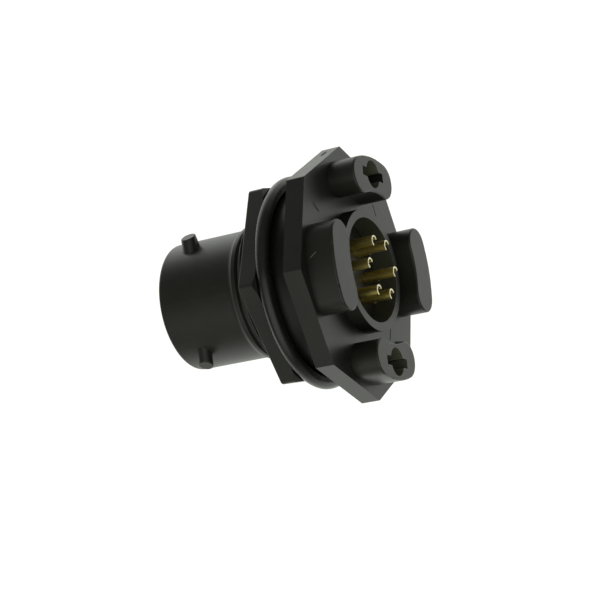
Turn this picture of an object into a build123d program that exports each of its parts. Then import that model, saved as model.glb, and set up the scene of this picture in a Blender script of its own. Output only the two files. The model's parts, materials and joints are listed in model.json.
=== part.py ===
"""Circular connector: panel-mount jam-nut receptacle with six solder-cup pins.

Frame: the connector's axis is Y. The mating barrel points to -Y, the wires leave at +Y and +Z is
up, with the wide keyway at the top. The origin is on the axis, in the plane of the shoulder that
seats on the panel. Lengths are millimetres. Turns are degrees from +Z towards +X.
"""
import os
from math import cos, degrees, radians, sin, tan

from build123d import *

# Mating barrel
barrel_radius = 9.525
barrel_length = 19.5
barrel_wall = 1.225
barrel_depth = 10.0
barrel_rim_round = 0.45
barrel_mouth_chamfer = 0.3

# Bayonet lugs on the barrel
lug_count = 3
lug_turn = 29.0
lug_from_rim = 4.2
lug_radius = 1.13
lug_height = 1.6
lug_edge_round = 0.15
lug_draws = (-1, 1, 0)

# Keyways in the barrel: one wide and four narrow
key_depth = 0.55
wide_key_width = 3.2
narrow_key_width = 1.6
narrow_key_turns = (105, 140, 215, 265)

# Threaded stretch, relief groove and shoulder
thread_radius = 11.1
thread_length = 7.0
thread_chamfer = 0.65
relief_radius = 10.4
relief_length = 0.8
shoulder_radius = 13.7
shoulder_length = 5.9

# Octagonal flange
flange_sides = 8
flange_across_flats = 34.35
flange_thickness = 2.78
flange_corner_round = 0.35

# Rear well, and the four posts round it: two screw bosses and two curved tabs
well_radius = 7.65
well_wall = 1.25
well_height = 2.18
post_gap = 2.1
post_margin = 0.85
post_height = 4.1
post_span = 54.0
post_end_round = 0.25
tab_turns = (90, 270)
boss_turns = (-4, 176)
screw_hole_radius = 2.05
screw_hole_floor = 1.2
screw_slot_length = 6.6
screw_slot_width = 1.35
screw_slot_turn = -3.0

# Jam nut
nut_sides = 6
nut_across_flats = 28.0
nut_thickness = 2.6
nut_turn = 32.0
nut_corner_round = 0.7
nut_edge_round = 0.2
nut_chamfer_across = 0.8
nut_chamfer_angle = 30.0
nut_bore_chamfer = 0.4
nut_clearance = 0.06
nut_seat_gap = 0.02

# Panel seal: an O-ring on the shoulder, behind the nut
seal_cord_radius = 1.0
seal_gap = 0.03

# Insulators
rib_length = 1.5
rib_radius = 6.9
insert_clearance = 0.06
insert_split = -1.0
insert_rear = 7.55

# Seal between the front insulator and the shell
insert_seal_cord_radius = 0.55
insert_seal_place = -4.5
insert_seal_groove = 1.5
insert_seal_gap = 0.03

# Lock ring that holds the insulators in
lock_ring_place = 3.5
lock_ring_thickness = 0.7
lock_ring_depth = 0.45
lock_ring_width = 1.2
lock_ring_opening = 3.0
lock_ring_gap = 0.03

# Contacts
contact_count = 6
contact_circle_radius = 4.15
contact_turn = 22.8
pin_radius = 0.51
pin_from_rim = 2.6
pin_nose = 0.35
pin_shank = -6.0
shank_radius = 0.84
collar_radius = 1.3
collar_length = 1.2
cup_tip = 12.5
cup_bore_radius = 0.6
cup_bore_depth = 4.0
cup_cut_length = 2.8
cup_cut_offset = 0.25
cup_open_turn = 220.0
contact_clearance = 0.05

# Places along the axis
rim_y = -barrel_length
floor_y = rim_y + barrel_depth
rib_rear_y = floor_y + rib_length
flange_rear_y = shoulder_length + flange_thickness
well_rim_y = flange_rear_y + well_height
post_end_y = flange_rear_y + post_height
lock_ring_y = lock_ring_place + lock_ring_gap
lug_y = rim_y + lug_from_rim
pin_tip_y = rim_y + pin_from_rim
nut_rear_y = -nut_seat_gap

# Sizes that follow from the ones above
flange_corner_radius = flange_across_flats / 2 / cos(radians(180 / flange_sides))
nut_corner_radius = nut_across_flats / 2 / cos(radians(180 / nut_sides))
screw_hole_depth = post_end_y - shoulder_length - screw_hole_floor
barrel_bore_radius = barrel_radius - barrel_wall
lug_root_radius = (barrel_bore_radius + key_depth + barrel_radius) / 2
nut_bore_radius = thread_radius + nut_clearance
insert_radius = well_radius - insert_clearance
insert_nose_radius = rib_radius - insert_clearance
seal_ring_radius = shoulder_radius + seal_gap + seal_cord_radius
post_inner_radius = well_radius + well_wall + post_gap
post_outer_radius = flange_across_flats / 2 - post_margin
post_middle_radius = (post_inner_radius + post_outer_radius) / 2
post_width = post_outer_radius - post_inner_radius
post_arc = post_span - 2 * degrees(post_width / 2 / post_middle_radius)
lock_ring_radius = well_radius + lock_ring_depth
lock_ring_bore = lock_ring_radius - lock_ring_width
groove_radius = well_radius - 2 * insert_seal_gap - 2 * insert_seal_cord_radius
contact_turns = [contact_turn + 360 / contact_count * i for i in range(contact_count)]


def across(y):
    """Plane across the axis at y: local x is +X, local y is +Z, and it faces the mating side."""
    return Plane(origin=(0, y, 0), x_dir=(1, 0, 0), z_dir=(0, -1, 0))


def spot(radius, turn):
    """Place on a circle round the axis, in the coordinates of a plane across it."""
    return (radius * sin(radians(turn)), radius * cos(radians(turn)))


def outwards(radius, y, turn):
    """Plane that faces away from the axis: local x runs round the barrel, local y along it."""
    x, z = spot(radius, turn)
    around = (cos(radians(turn)), 0, -sin(radians(turn)))
    return Plane(origin=(x, y, z), x_dir=around, z_dir=(x, 0, z))


def end_edges(part, y):
    """Edges of a part that lie in the plane across the axis at y."""
    return part.edges().filter_by_position(Axis.Y, y - tolerance, y + tolerance)


os.makedirs("parts", exist_ok=True)
tolerance = 0.01


# Flange with its four posts, before the turned body joins it
with BuildPart() as flange:
    with BuildSketch(across(flange_rear_y)) as flange_outline:
        RegularPolygon(flange_corner_radius, flange_sides, rotation=90)
        fillet(flange_outline.vertices(), flange_corner_round)
        Circle(well_radius + well_wall / 2, mode=Mode.SUBTRACT)
    extrude(amount=flange_thickness)

    # Each post is a curved slot with full round ends
    with BuildSketch(across(post_end_y)):
        for turn in (*tab_turns, *boss_turns):
            with BuildLine(mode=Mode.PRIVATE) as post_line:
                CenterArc((0, 0), post_middle_radius, 90 - turn - post_arc / 2, post_arc)
            SlotArc(post_line.wire(), post_width)
    extrude(amount=post_height)
    fillet(end_edges(flange, post_end_y), post_end_round)

# Bayonet lugs: round pins, two of them stretched along Z, the way the mould opens, down to the barrel
lugs = []
for i, draw in zip(range(lug_count), lug_draws):
    lug_plane = outwards(barrel_radius + lug_height, lug_y, lug_turn + 360 / lug_count * i)
    near_edge = lug_plane.origin - lug_plane.x_dir * draw * lug_radius
    barrel_edge = (barrel_radius**2 - min(abs(near_edge.X), barrel_radius) ** 2) ** 0.5
    with BuildPart() as lug:
        with BuildSketch(lug_plane):
            Circle(lug_radius)
        extrude(amount=lug_root_radius - barrel_radius - lug_height)
        if draw:
            with BuildSketch(lug_plane):
                Circle(lug_radius)
            extrude(amount=abs(near_edge.Z) - barrel_edge + barrel_wall / 5, dir=(0, 0, draw))
        fillet(lug.faces().sort_by_distance(lug_plane.origin)[0].edges(), lug_edge_round)
    lugs.append(lug.part)

with BuildPart() as shell:
    # Barrel, thread, relief, shoulder and well, turned about the axis
    with BuildSketch(Plane.XY):
        with BuildLine():
            Polyline(
                (rib_radius, floor_y),
                (barrel_bore_radius, floor_y),
                (barrel_bore_radius, rim_y),
                (barrel_radius, rim_y),
                (barrel_radius, -thread_length),
                (thread_radius - thread_chamfer, -thread_length),
                (thread_radius, -thread_length + thread_chamfer),
                (thread_radius, -relief_length),
                (relief_radius, -relief_length),
                (relief_radius, 0),
                (shoulder_radius, 0),
                (shoulder_radius, flange_rear_y),
                (well_radius + well_wall, flange_rear_y),
                (well_radius + well_wall, well_rim_y),
                (well_radius, well_rim_y),
                (well_radius, rib_rear_y),
                (rib_radius, rib_rear_y),
                close=True,
            )
        make_face()
    revolve(axis=Axis.Y)
    fillet(end_edges(shell, rim_y).sort_by(SortBy.RADIUS)[-1], barrel_rim_round)
    chamfer(end_edges(shell, rim_y).sort_by(SortBy.RADIUS)[0], barrel_mouth_chamfer)

    # The flange and its posts join the turned body
    add(flange.part)

    # Screw holes with their cross slots, blind
    with BuildSketch(across(post_end_y)):
        for turn in boss_turns:
            with Locations(spot(post_middle_radius, turn)):
                Circle(screw_hole_radius)
                Rectangle(screw_slot_length, screw_slot_width, rotation=-turn - screw_slot_turn)
    extrude(amount=screw_hole_depth, mode=Mode.SUBTRACT)

    # Bayonet lugs, spaced evenly round the barrel
    for lug_part in lugs:
        add(lug_part)

    # Keyways along the whole depth of the barrel
    for turn in (0, *narrow_key_turns):
        width = narrow_key_width if turn else wide_key_width
        with BuildSketch(across(floor_y)):
            with Locations(spot(barrel_bore_radius, turn)):
                Rectangle(width, 2 * key_depth, rotation=-turn)
        extrude(amount=barrel_depth, mode=Mode.SUBTRACT)

    # Groove for the lock ring, which the rear insulator hides
    with BuildSketch(across(lock_ring_y + lock_ring_thickness + lock_ring_gap)):
        Circle(lock_ring_radius + lock_ring_gap)
    extrude(amount=lock_ring_thickness + 2 * lock_ring_gap, mode=Mode.SUBTRACT)
shell.part.label = "shell"
export_step(shell.part, "parts/shell.step")


# Jam nut: a hexagon with its rear corners chamfered, on the plain thread diameter
with BuildPart() as jam_nut:
    with BuildSketch(across(nut_rear_y)):
        RegularPolygon(nut_corner_radius, nut_sides, rotation=90 - nut_turn)
    extrude(amount=nut_thickness)
    fillet(jam_nut.edges().filter_by(Axis.Y), nut_corner_round)
    fillet(end_edges(jam_nut, nut_rear_y - nut_thickness), nut_edge_round)

    # The chamfer is a cone that cuts the corners back towards the shoulder
    chamfer_rise = nut_chamfer_across * tan(radians(nut_chamfer_angle))
    with BuildSketch(Plane.XY):
        with BuildLine():
            Polyline(
                (nut_corner_radius - nut_chamfer_across, nut_rear_y),
                (nut_corner_radius + nut_chamfer_across, nut_rear_y - 2 * chamfer_rise),
                (nut_corner_radius + nut_chamfer_across, nut_rear_y),
                close=True,
            )
        make_face()
    revolve(axis=Axis.Y, mode=Mode.SUBTRACT)

    with BuildSketch(across(nut_rear_y)):
        Circle(nut_bore_radius)
    extrude(amount=nut_thickness, mode=Mode.SUBTRACT)
    bore_ends = jam_nut.edges().filter_by(GeomType.CIRCLE).filter_by(lambda e: e.radius == nut_bore_radius)
    chamfer(bore_ends, nut_bore_chamfer)
jam_nut.part.label = "jam_nut"
export_step(jam_nut.part, "parts/jam_nut.step")


# Panel seal
with BuildPart() as panel_seal:
    with BuildSketch(Plane.XY):
        with Locations((seal_ring_radius, seal_cord_radius + seal_gap)):
            Circle(seal_cord_radius)
    revolve(axis=Axis.Y)
panel_seal.part.label = "panel_seal"
export_step(panel_seal.part, "parts/panel_seal.step")


# Front insulator: its nose fills the shell's rib, and each hole steps up behind the pin
with BuildPart() as front_insulator:
    with BuildSketch(Plane.XY):
        with BuildLine():
            Polyline(
                (0, floor_y),
                (insert_nose_radius, floor_y),
                (insert_nose_radius, rib_rear_y + insert_clearance),
                (insert_radius, rib_rear_y + insert_clearance),
                (insert_radius, insert_seal_place - insert_seal_groove / 2),
                (groove_radius, insert_seal_place - insert_seal_groove / 2),
                (groove_radius, insert_seal_place + insert_seal_groove / 2),
                (insert_radius, insert_seal_place + insert_seal_groove / 2),
                (insert_radius, insert_split),
                (0, insert_split),
                close=True,
            )
        make_face()
    revolve(axis=Axis.Y)
    for radius, start_y, end_y in (
        (pin_radius + contact_clearance, floor_y, insert_split),
        (shank_radius + contact_clearance, pin_shank - contact_clearance, insert_split),
        (collar_radius + contact_clearance, insert_split - collar_length / 2 - contact_clearance, insert_split),
    ):
        with BuildSketch(across(end_y)):
            with Locations(*[spot(contact_circle_radius, turn) for turn in contact_turns]):
                Circle(radius)
        extrude(amount=end_y - start_y, mode=Mode.SUBTRACT)
front_insulator.part.label = "front_insulator"
export_step(front_insulator.part, "parts/front_insulator.step")


# Rear insulator: traps the contacts' collars against the front one, and has a groove deep enough
# for the lock ring to be squeezed into it as the insulator goes in
with BuildPart() as rear_insulator:
    with BuildSketch(across(insert_rear)):
        Circle(insert_radius)
    extrude(amount=insert_rear - insert_split)
    with BuildSketch(across(lock_ring_y + lock_ring_thickness + lock_ring_gap)):
        Circle(insert_radius)
        Circle(lock_ring_bore - lock_ring_depth - insert_clearance, mode=Mode.SUBTRACT)
    extrude(amount=lock_ring_thickness + 2 * lock_ring_gap, mode=Mode.SUBTRACT)
    for radius, start_y, end_y in (
        (shank_radius + contact_clearance, insert_split, insert_rear),
        (collar_radius + contact_clearance, insert_split, insert_split + collar_length / 2 + contact_clearance),
    ):
        with BuildSketch(across(end_y)):
            with Locations(*[spot(contact_circle_radius, turn) for turn in contact_turns]):
                Circle(radius)
        extrude(amount=end_y - start_y, mode=Mode.SUBTRACT)
rear_insulator.part.label = "rear_insulator"
export_step(rear_insulator.part, "parts/rear_insulator.step")


# Seal between the front insulator and the shell
with BuildPart() as insert_seal:
    with BuildSketch(Plane.XY):
        with Locations((well_radius - insert_seal_gap - insert_seal_cord_radius, insert_seal_place)):
            Circle(insert_seal_cord_radius)
    revolve(axis=Axis.Y)
insert_seal.part.label = "insert_seal"
export_step(insert_seal.part, "parts/insert_seal.step")


# Lock ring: a split ring sprung into the shell's groove from the rear insulator's, open at the bottom
with BuildPart() as insert_lock_ring:
    with BuildSketch(across(lock_ring_y + lock_ring_thickness)):
        Circle(lock_ring_radius)
        Circle(lock_ring_bore, mode=Mode.SUBTRACT)
        with Locations((0, -well_radius)):
            Rectangle(lock_ring_opening, well_radius, mode=Mode.SUBTRACT)
    extrude(amount=lock_ring_thickness)
insert_lock_ring.part.label = "insert_lock_ring"
export_step(insert_lock_ring.part, "parts/insert_lock_ring.step")


# Contacts: each is one turned piece, a pin at the front and a solder cup at the rear
for number, turn in enumerate(contact_turns, 1):
    with BuildPart() as contact:
        with BuildSketch(Plane.XY):
            with BuildLine():
                Polyline(
                    (0, pin_tip_y),
                    (pin_radius - pin_nose, pin_tip_y),
                    (pin_radius, pin_tip_y + 2 * pin_nose),
                    (pin_radius, pin_shank),
                    (shank_radius, pin_shank),
                    (shank_radius, insert_split - collar_length / 2),
                    (collar_radius, insert_split - collar_length / 2),
                    (collar_radius, insert_split + collar_length / 2),
                    (shank_radius, insert_split + collar_length / 2),
                    (shank_radius, cup_tip),
                    (cup_bore_radius, cup_tip),
                    (cup_bore_radius, cup_tip - cup_bore_depth),
                    (0, cup_tip - cup_bore_depth - cup_bore_radius / 2),
                    close=True,
                )
            make_face()
        revolve(axis=Axis.Y)

        # Nearly half of the cup's wall is cut away, so that a wire can be laid in
        x, z = spot(shank_radius + cup_cut_offset, cup_open_turn)
        with BuildSketch(across(cup_tip)):
            with Locations((x, z)):
                Rectangle(3 * shank_radius, 2 * shank_radius, rotation=-cup_open_turn)
        extrude(amount=cup_cut_length, mode=Mode.SUBTRACT)
    x, z = spot(contact_circle_radius, turn)
    placed = contact.part.moved(Location((x, 0, z)))
    placed.label = f"contact_{number}"
    export_step(placed, f"parts/contact_{number}.step")
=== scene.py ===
"""Looks of the circular connector: a panel-mount receptacle in black plastic with gold contacts.

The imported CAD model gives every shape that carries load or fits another. Here the shell gets its helical
thread, every piece its finish, and the part a soft white studio and the photograph's viewpoint. Lengths are
metres in the part's frame, or millimetres where a comment or a name says so: the connector's axis is Y, the
mating barrel points to -Y and +Z is up.
"""
import json
import math

import bmesh
import bpy
from mathutils import Matrix, Vector


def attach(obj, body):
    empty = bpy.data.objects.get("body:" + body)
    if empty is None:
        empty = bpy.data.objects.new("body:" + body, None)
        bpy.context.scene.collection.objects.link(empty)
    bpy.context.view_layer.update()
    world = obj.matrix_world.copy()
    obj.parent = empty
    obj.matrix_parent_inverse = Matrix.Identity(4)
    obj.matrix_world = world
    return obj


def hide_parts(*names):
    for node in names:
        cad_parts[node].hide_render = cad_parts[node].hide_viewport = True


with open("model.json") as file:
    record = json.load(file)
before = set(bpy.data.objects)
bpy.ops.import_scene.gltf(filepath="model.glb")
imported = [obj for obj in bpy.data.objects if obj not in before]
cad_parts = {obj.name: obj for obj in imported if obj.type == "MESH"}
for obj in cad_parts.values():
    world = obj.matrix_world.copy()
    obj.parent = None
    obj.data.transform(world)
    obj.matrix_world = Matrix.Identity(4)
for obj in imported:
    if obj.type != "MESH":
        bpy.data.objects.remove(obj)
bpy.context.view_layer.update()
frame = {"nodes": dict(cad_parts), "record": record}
nodes = frame["nodes"]

MM = 0.001
hair = 0.002 * MM  # places nearer than this are one place
same_turn = 1e-4  # and so are turns, as fractions of a circle

# Camera: a least-squares match to the photograph, with its own roll
camera_place = Vector((234.055, 115.051, -26.654)) * MM
camera_back = Vector((0.89141, 0.44350, -0.09325)).normalized()
camera_up = Vector((0.01402, 0.17867, 0.98381)).normalized()
camera_lens = 108.0
camera_sensor = 36.0
camera_near = 10 * MM

# Floor, well below the part
floor_height = -60 * MM
floor_size = 4.0
floor_colour = (0.86, 0.86, 0.86, 1.0)
floor_roughness = 0.8
floor_glow = 0.8

# Surround: white to the camera; as light it is bright behind the part, a little less towards its rear (+Y)
# and dim at the viewer, with a fill from one side. The limits are cosines of the angle from viewer and fill
light_colour = (0.975, 1.0, 0.94)
seen_strength = 1.1
backdrop_strength = 1.05
rear_loss = 0.35
dim_strength = 0.11
bright_until = -0.60
dim_from = 0.12
fill_towards = Vector((0.80, 0.25, -0.55)).normalized()
fill_strength = 0.75
fill_from = 0.57
fill_full_from = 0.94

# A square soft box above the part, facing its origin
top_light_place = Vector((-116, -152, 284)) * MM
top_light_size = 220 * MM
top_light_watts = 0.06

# Thread: a helix in place of the plain stretch of the CAD shell, which stands at the crest. In pitches: how
# far a crest lies behind the front at turn 0, and half the widths of crest and root
thread_front = -6.9 * MM
thread_rear = -0.8 * MM
thread_crest = 11.1 * MM
thread_pitch = 1.27 * MM
thread_depth = 0.76 * MM
thread_run_out = 0.3 * MM
thread_start = 0.484
crest_share = 0.0625
root_share = 0.125
rows_per_turn = 16

# Lead in front of the thread: a cone up from the barrel, a plain stretch, a groove and the first flank
barrel_radius = 9.525 * MM
facet_sag = 0.03 * MM  # how far the barrel's facets dip inside its radius
lead_front = -7.8 * MM
lead_radius = 10.0 * MM
lead_groove = -6.0 * MM
lead_groove_half = 0.34 * MM
lead_groove_depth = 0.55 * MM
lead_rear = -5.7 * MM
lead_flank_slope = 1.6

# Marks on the shell, in mm: dark lines on the flange's rear face, as (x, z), a dimple in the flange's upper
# edge, as (x, y), darkened with painted shade, and a light nick in one tab, as (y, z). Relief is in heights
# of the plastic's grain
line_strokes = [
    ((11.6, 9.5), (10.8, 8.8)),
    ((10.8, 8.8), (10.2, 8.4)),
    ((-8.5, 10.4), (-9.0, 8.8)),
    ((-8.6, -10.2), (-11.8, -10.2)),
    ((-7.7, -8.3), (-7.0, -9.8)),
]
line_width = 0.28
line_span = (8.63, 8.73)
dimple_stroke = ((1.8, 7.2), (3.2, 7.2))
dimple_width = 0.55
dimple_above = (15.0, 15.1)
nick_stroke = ((9.2, 1.5), (10.1, 2.1))
nick_width = 0.16
nick_beyond = (14.0, 14.1)
# The dark tint colours the lines and paints shade into the dimple
mark_and_dimple_shade_tint = (0.006, 0.006, 0.004)
mark_and_dimple_shade_cover = 0.8
mark_dullness = 0.6
mark_depth = 15.0
nick_tint = (0.20, 0.20, 0.18)
nick_height = 3.0

# Places on the shell, in mm from the axis and along it: painted light in the bosses' holes and the well,
# and painted shade on the shoulder
hole_ring = (11.5, 15.75)
hole_width = (-3.6, 3.6)
hole_span = (7.0, 12.7)
well_ring = (6.0, 7.7)
well_span = (7.6, 10.8)
well_share = 0.4
painted_hollow_light = (0.13, 0.135, 0.095)
shoulder_ring = (13.0, 13.9)
shoulder_span = (0.2, 5.8)
painted_shoulder_shade = (0.012, 0.012, 0.010)

# Contacts, in mm along the axis: the rim of the solder cups, paled as a painted highlight, and the flat
# step where each cup's cut ends, darkened as painted shade
rim_above = (12.46, 12.49)
painted_rim_highlight = (1.0, 0.95, 0.70)
step_span = (9.697, 9.703)
step_edge = 0.003
painted_step_shade = (0.06, 0.045, 0.02)


class Sock:
    """A shader socket that takes part in Python arithmetic: each operator adds the Math node it needs."""

    def __init__(self, material, socket):
        self.material = material
        self.socket = socket

    def _math(self, operation, *values):
        return self.material.node("ShaderNodeMath", dict(operation=operation), *values)

    def __add__(self, other):
        return self._math("ADD", self, other)

    def __sub__(self, other):
        return self._math("SUBTRACT", self, other)

    def __mul__(self, other):
        return self._math("MULTIPLY", self, other)

    def __truediv__(self, other):
        return self._math("DIVIDE", self, other)

    def __radd__(self, other):
        return self._math("ADD", other, self)

    def __rsub__(self, other):
        return self._math("SUBTRACT", other, self)

    def __rmul__(self, other):
        return self._math("MULTIPLY", other, self)

    def clamped(self):
        return self._math("MINIMUM", self._math("MAXIMUM", self, 0.0), 1.0)

    def power(self, exponent):
        return self._math("POWER", self, exponent)


class Finish:
    """A node tree under construction, for a material or the world."""

    def __init__(self, owner):
        owner.use_nodes = True
        self.owner = owner
        self.tree = owner.node_tree
        self.tree.nodes.clear()

    def node(self, kind, settings, *values, out=0, **named):
        """Adds a node: its settings first, then the values or links of its sockets, by place or by name."""
        new = self.tree.nodes.new(kind)
        for key, value in settings.items():
            setattr(new, key, value)
        named = {key.replace("_", " "): value for key, value in named.items()}
        for place, value in [*enumerate(values), *named.items()]:
            if isinstance(value, Sock):
                self.tree.links.new(value.socket, new.inputs[place])
            elif value is not None:
                new.inputs[place].default_value = value
        return Sock(self, new.outputs[out]) if new.outputs else None

    def place(self):
        """The shaded point in the object's own coordinates."""
        return self.node("ShaderNodeTexCoord", {}, out="Object")

    def noise(self, scale_mm, detail=3.0):
        """Noise between 0 and 1 whose features are about scale_mm across."""
        return self.node(
            "ShaderNodeTexNoise", {}, self.place(), out="Fac", Scale=1 / (scale_mm * MM), Detail=detail,
        )

    def ramp(self, value, low, high):
        """0 below low, 1 above high and smooth between them."""
        return self.node(
            "ShaderNodeMapRange", dict(interpolation_type="SMOOTHSTEP"), value,
            From_Min=low, From_Max=high, To_Min=0.0, To_Max=1.0,
        )

    def beyond(self, value, span_mm):
        """0 below a span of lengths, 1 above it."""
        low_mm, high_mm = span_mm
        return self.ramp(value, low_mm * MM, high_mm * MM)

    def between(self, value, span_mm, edge_mm=0.04):
        """1 in a span of lengths, 0 outside it."""
        low_mm, high_mm = span_mm
        rising = self.ramp(value, (low_mm - edge_mm) * MM, low_mm * MM)
        return rising * (1.0 - self.ramp(value, high_mm * MM, (high_mm + edge_mm) * MM))

    def stroke(self, across, along, start_mm, end_mm, width_mm):
        """1 on a straight stroke in the plane of two coordinates and 0 away from it."""
        length = math.dist(start_mm, end_mm)
        run, rise = [(b - a) / length for a, b in zip(start_mm, end_mm)]
        from_start = [across - start_mm[0] * MM, along - start_mm[1] * MM]
        beside = from_start[0] * rise - from_start[1] * run
        ahead = from_start[0] * run + from_start[1] * rise
        past = ahead - (ahead / (length * MM)).clamped() * (length * MM)
        away = (beside * beside + past * past).power(0.5)
        return 1.0 - self.ramp(away, 0.25 * width_mm * MM, 0.5 * width_mm * MM)

    def mix(self, factor, first, second):
        """Colour between first and second."""
        colours = [value if isinstance(value, Sock) else (*value, 1.0) for value in (first, second)]
        return self.node("ShaderNodeMix", dict(data_type="RGBA"), factor, *[None] * 5, *colours, out=2)

    def bump(self, height, distance_mm, strength):
        return self.node("ShaderNodeBump", {}, Strength=strength, Distance=distance_mm * MM, Height=height)

    def surface(self, **named):
        """Ends a material's tree with its surface and gives the material."""
        shader = self.node("ShaderNodeBsdfPrincipled", {}, **named)
        self.node("ShaderNodeOutputMaterial", {}, Surface=shader)
        return self.owner


def shell_marks_and_painted_light(finish):
    """Shares of the shell's dark marks with the dimple's painted shade, the light nick on one tab, the
    painted light in the hollows and the painted shade on the shoulder.
    """
    x, y, z = [finish.node("ShaderNodeSeparateXYZ", {}, finish.place(), out=axis) for axis in "XYZ"]
    lines = 0.0
    for start, end in line_strokes:
        lines = lines + finish.stroke(x, z, start, end, line_width)
    dimple = finish.stroke(x, y, *dimple_stroke, dimple_width) * finish.beyond(z, dimple_above)
    marks_and_shaded_dimple = lines * finish.between(y, line_span) + dimple
    nick = finish.stroke(y, z, *nick_stroke, nick_width) * finish.beyond(x, nick_beyond)
    radius = (x * x + z * z).power(0.5)
    holes = finish.between(radius, hole_ring) * finish.between(x, hole_width) * finish.between(y, hole_span)
    well = finish.between(radius, well_ring) * finish.between(y, well_span)
    shoulder_shade = finish.between(radius, shoulder_ring) * finish.between(y, shoulder_span)
    return marks_and_shaded_dimple.clamped(), nick, (holes + well_share * well).clamped(), shoulder_shade


def moulded_plastic(name, colour, worn, grain_mm, base_roughness, marked=False):
    """Black moulded plastic: a fine spark-eroded grain, cloudy gloss and a few rubbed specks."""
    finish = Finish(bpy.data.materials.new(name))
    clouds = finish.noise(5.0, detail=4.0)
    specks = finish.ramp(finish.noise(0.35, detail=2.0), 0.70, 0.80)
    shade = finish.ramp(clouds, 0.35, 0.75)
    tint = finish.mix(shade * 0.5 + specks * 0.25, colour, worn)
    rough = base_roughness + 0.10 * (clouds - 0.5) + 0.06 * finish.noise(0.6)
    grain = finish.noise(grain_mm, detail=2.0) + 0.6 * finish.noise(grain_mm * 4, detail=2.0)
    if marked:
        marks_and_shaded_dimple, nick, hollow_light, shoulder_shade = shell_marks_and_painted_light(finish)
        # Painted light: the bosses' holes and the well lightened
        tint = finish.mix(hollow_light, tint, painted_hollow_light)
        # Painted shade: the shoulder darkened
        tint = finish.mix(shoulder_shade, tint, painted_shoulder_shade)
        # Dark lines, and painted shade in the dimple
        tint = finish.mix(mark_and_dimple_shade_cover * marks_and_shaded_dimple, tint, mark_and_dimple_shade_tint)
        tint = finish.mix(nick, tint, nick_tint)
        rough = rough + mark_dullness * marks_and_shaded_dimple
        grain = grain - mark_depth * marks_and_shaded_dimple + nick_height * nick
    return finish.surface(
        Base_Color=tint, Roughness=rough, Normal=finish.bump(grain, 0.006, 0.6), IOR=1.5,
    )


def seal_rubber(name):
    """Black moulded rubber: smoother than the plastic, with a faint bloom."""
    finish = Finish(bpy.data.materials.new(name))
    bloom = finish.ramp(finish.noise(3.0, detail=4.0), 0.4, 0.8)
    tint = finish.mix(bloom * 0.6, (0.022, 0.022, 0.018), (0.034, 0.035, 0.029))
    rough = 0.24 + 0.12 * bloom
    grain = finish.noise(0.25)
    return finish.surface(
        Base_Color=tint, Roughness=rough, Normal=finish.bump(grain, 0.004, 0.5), IOR=1.52,
    )


def contact_gold(name):
    """Gold plating over turned copper alloy, with fine turning marks round each contact."""
    finish = Finish(bpy.data.materials.new(name))
    stain = finish.ramp(finish.noise(1.6), 0.35, 0.75)
    along = finish.node("ShaderNodeSeparateXYZ", {}, finish.place(), out="Y")
    tint = finish.mix(stain, (0.90, 0.76, 0.27), (0.82, 0.65, 0.19))
    # Painted highlight on the cup rims
    tint = finish.mix(finish.beyond(along, rim_above), tint, painted_rim_highlight)
    # Painted shade on the step where each cup's cut ends
    tint = finish.mix(finish.between(along, step_span, step_edge), tint, painted_step_shade)
    rings = finish.node("ShaderNodeTexNoise", dict(noise_dimensions="1D"), W=along, Scale=9000.0, out="Fac")
    rough = 0.40 + 0.10 * stain
    return finish.surface(
        Base_Color=tint, Roughness=rough, Metallic=1.0, Normal=finish.bump(rings, 0.002, 0.5),
    )


def spring_steel(name):
    """Blackened spring steel, patchy in tint and gloss."""
    finish = Finish(bpy.data.materials.new(name))
    patches = finish.noise(1.2, detail=4.0)
    tint = finish.mix(patches, (0.05, 0.05, 0.052), (0.13, 0.13, 0.13))
    return finish.surface(Base_Color=tint, Roughness=0.30 + 0.2 * patches, Metallic=1.0)


def thread_radius(y, turn):
    """Radius of the thread at a place along the axis and a turn, a fraction of a circle, round it."""
    phase = (y - thread_front) / thread_pitch - turn
    from_crest = abs((phase - thread_start + 0.5) % 1.0 - 0.5)
    down = min(max((from_crest - crest_share) / (0.5 - root_share - crest_share), 0.0), 1.0)
    groove = lead_groove_depth * max(1.0 - abs(y - lead_groove) / lead_groove_half, 0.0)
    lead = lead_radius - groove + lead_flank_slope * max(y - lead_rear, 0.0)
    radius = min(thread_crest - thread_depth * down, lead)
    return thread_crest - (thread_crest - radius) * min((thread_rear - y) / thread_run_out, 1.0)


def from_axis(vert):
    """Distance of a mesh's vertex from the connector's axis."""
    return math.hypot(vert.co.x, vert.co.z)


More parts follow.
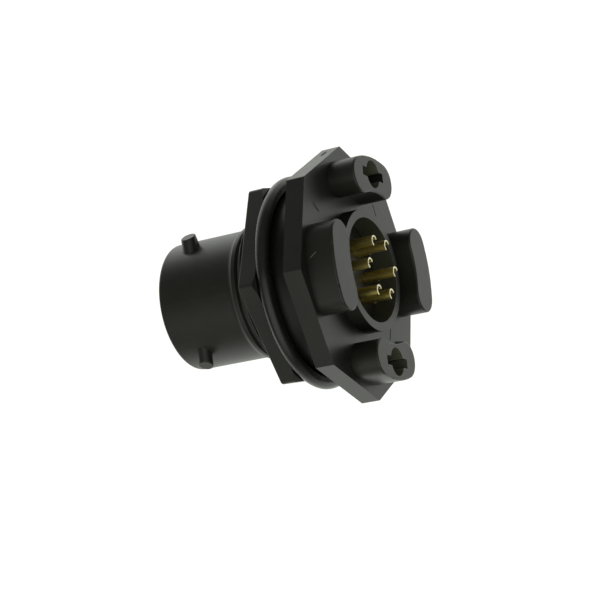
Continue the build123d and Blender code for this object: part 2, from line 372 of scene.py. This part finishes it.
def threaded_copy(source, name):
    """The shell with a helix in place of its plain stretch; the other faces keep their CAD normals."""
    shape = bmesh.new()
    shape.from_mesh(source)
    kept = shape.loops.layers.float_vector.new("kept_normal")
    for face, polygon in zip(shape.faces, source.polygons):
        for loop, corner in zip(face.loops, polygon.loop_indices):
            loop[kept] = source.corner_normals[corner].vector

    # The barrel is cut where the lead begins
    barrel = [
        face for face in shape.faces
        if all(abs(from_axis(vert) - barrel_radius) < hair for vert in face.verts)
    ]
    edges = dict.fromkeys(edge for face in barrel for edge in face.edges)
    verts = dict.fromkeys(vert for face in barrel for vert in face.verts)
    bmesh.ops.bisect_plane(
        shape, geom=[*barrel, *edges, *verts], dist=hair / 10,
        plane_co=(0, lead_front, 0), plane_no=(0, 1, 0),
    )

    # The plain stretch goes, and its rear ring gives the helix its columns
    plain = []
    turns = set()
    for face in shape.faces:
        ys = [vert.co.y for vert in face.verts]
        radii = [from_axis(vert) for vert in face.verts]
        on_stretch = lead_front - hair < min(ys) < thread_rear - hair and max(ys) < thread_rear + hair
        if on_stretch and barrel_radius - facet_sag < min(radii) and max(radii) < thread_crest + hair:
            plain.append(face)
            turns |= {
                math.atan2(vert.co.x, vert.co.z) / (2 * math.pi) % 1.0
                for vert in face.verts if vert.co.y > thread_rear - hair
            }
    bmesh.ops.delete(shape, geom=plain, context="FACES")
    turns = sorted(turns)
    turns = [turn for turn, last in zip(turns, [-1.0] + turns) if turn - last > same_turn]

    # Each row of the new grid follows the helix, held between the ends, and meets the next one after a turn
    rows = int((thread_rear - thread_front) / thread_pitch * rows_per_turn) + rows_per_turn + 3
    columns = []
    for turn in turns:
        angle = 2 * math.pi * turn
        column = []
        for row in range(rows):
            y = thread_front + (row / rows_per_turn - 1 + turn) * thread_pitch
            y = min(max(y, thread_front), thread_rear)
            radius = thread_radius(y, turn)
            column.append(shape.verts.new((radius * math.sin(angle), y, radius * math.cos(angle))))
        columns.append(column)
    for column, after in zip(columns, columns[1:] + [columns[0][rows_per_turn:]]):
        for row in range(len(after) - 1):
            face = shape.faces.new((column[row], after[row], after[row + 1], column[row + 1]))
            face.smooth = True
    bmesh.ops.remove_doubles(shape, verts=shape.verts, dist=hair)

    # The grid joins the shell, by the lead's cone in front, and its ends are sharp
    open_edges = [edge for edge in shape.edges if edge.is_boundary]
    for face in bmesh.ops.bridge_loops(shape, edges=open_edges)["faces"]:
        face.smooth = True
    bmesh.ops.recalc_face_normals(shape, faces=shape.faces)
    for edge in shape.edges:
        ys = [vert.co.y for vert in edge.verts]
        if any(max(abs(y - ring) for y in ys) < hair for ring in (lead_front, thread_front, thread_rear)):
            edge.smooth = False
    mesh = bpy.data.meshes.new(name)
    shape.to_mesh(mesh)
    shape.free()
    stored = mesh.attributes["kept_normal"].data
    mesh.normals_split_custom_set([tuple(item.vector) for item in stored])
    mesh.attributes.remove(mesh.attributes["kept_normal"])
    return mesh


# The shell that is seen carries the thread
shell = bpy.data.objects.new("threaded_shell", threaded_copy(nodes["shell"].data, "threaded_shell"))
bpy.context.collection.objects.link(shell)
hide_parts("shell")
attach(shell, "receptacle")

# Finishes of the pieces
finishes = {
    "shell_plastic": moulded_plastic(
        "shell_plastic", (0.027, 0.028, 0.022), (0.036, 0.037, 0.030), 0.08, 0.33, marked=True,
    ),
    "nut_plastic": moulded_plastic(
        "nut_plastic", (0.028, 0.029, 0.023), (0.037, 0.038, 0.031), 0.10, 0.36,
    ),
    "insulator_plastic": moulded_plastic(
        "insulator_plastic", (0.034, 0.035, 0.028), (0.045, 0.046, 0.038), 0.08, 0.38,
    ),
    "seal_rubber": seal_rubber("seal_rubber"),
    "contact_gold": contact_gold("contact_gold"),
    "spring_steel": spring_steel("spring_steel"),
}
for subpart in frame["record"]["subparts"]:
    nodes[subpart["node"]].data.materials[0] = finishes[subpart["material_slot"]]
shell.data.materials.clear()
shell.data.materials.append(finishes["shell_plastic"])

# Floor
floor = bpy.data.objects.new("floor", bpy.data.meshes.new("floor"))
bpy.context.collection.objects.link(floor)
plane = bmesh.new()
floor_place = Matrix.Translation((0, 0, floor_height))
bmesh.ops.create_grid(plane, x_segments=1, y_segments=1, size=floor_size, matrix=floor_place)
plane.to_mesh(floor.data)
plane.free()
floor.data.materials.append(
    Finish(bpy.data.materials.new("floor_white")).surface(
        Base_Color=floor_colour, Roughness=floor_roughness,
        Emission_Color=(1.0, 1.0, 1.0, 1.0), Emission_Strength=floor_glow,
    )
)
floor.visible_glossy = False
floor.visible_diffuse = False

# Surround
world = bpy.data.worlds.new("studio")
bpy.context.scene.world = world
surround = Finish(world)
direction = surround.node("ShaderNodeTexCoord", {}, out="Generated")
towards_viewer, towards_fill = [
    surround.node(
        "ShaderNodeVectorMath", dict(operation="DOT_PRODUCT"), direction, tuple(way), out="Value",
    )
    for way in (camera_back, fill_towards)
]
rearward = surround.node("ShaderNodeSeparateXYZ", {}, direction, out="Y").clamped()
backdrop = backdrop_strength - rear_loss * rearward
dimming = surround.ramp(towards_viewer, bright_until, dim_from)
fill = fill_strength * surround.ramp(towards_fill, fill_from, fill_full_from)
light_strength = backdrop + (dim_strength - backdrop) * dimming + fill
seen = surround.node("ShaderNodeLightPath", {}, out="Is Camera Ray")
strength = light_strength + (seen_strength - light_strength) * seen
lit = surround.node("ShaderNodeBackground", {}, Color=(*light_colour, 1.0), Strength=strength)
surround.node("ShaderNodeOutputWorld", {}, Surface=lit)

# Soft box
lamp = bpy.data.lights.new("top_light", "AREA")
lamp.size = top_light_size
lamp.energy = top_light_watts
top_light = bpy.data.objects.new("top_light", lamp)
bpy.context.collection.objects.link(top_light)
top_light.location = top_light_place
top_light.rotation_mode = "QUATERNION"
top_light.rotation_quaternion = (-top_light_place).to_track_quat("-Z", "Y")
top_light.visible_camera = False

# Camera
camera = bpy.data.objects.new("camera", bpy.data.cameras.new("camera"))
bpy.context.collection.objects.link(camera)
camera.data.lens = camera_lens
camera.data.sensor_width = camera_sensor
camera.data.clip_start = camera_near
camera_right = camera_up.cross(camera_back).normalized()
camera_up = camera_back.cross(camera_right)
turned = Matrix((camera_right, camera_up, camera_back)).transposed().to_4x4()
camera.matrix_world = Matrix.Translation(camera_place) @ turned
bpy.context.scene.camera = camera
bpy.context.scene.view_settings.view_transform = "Standard"
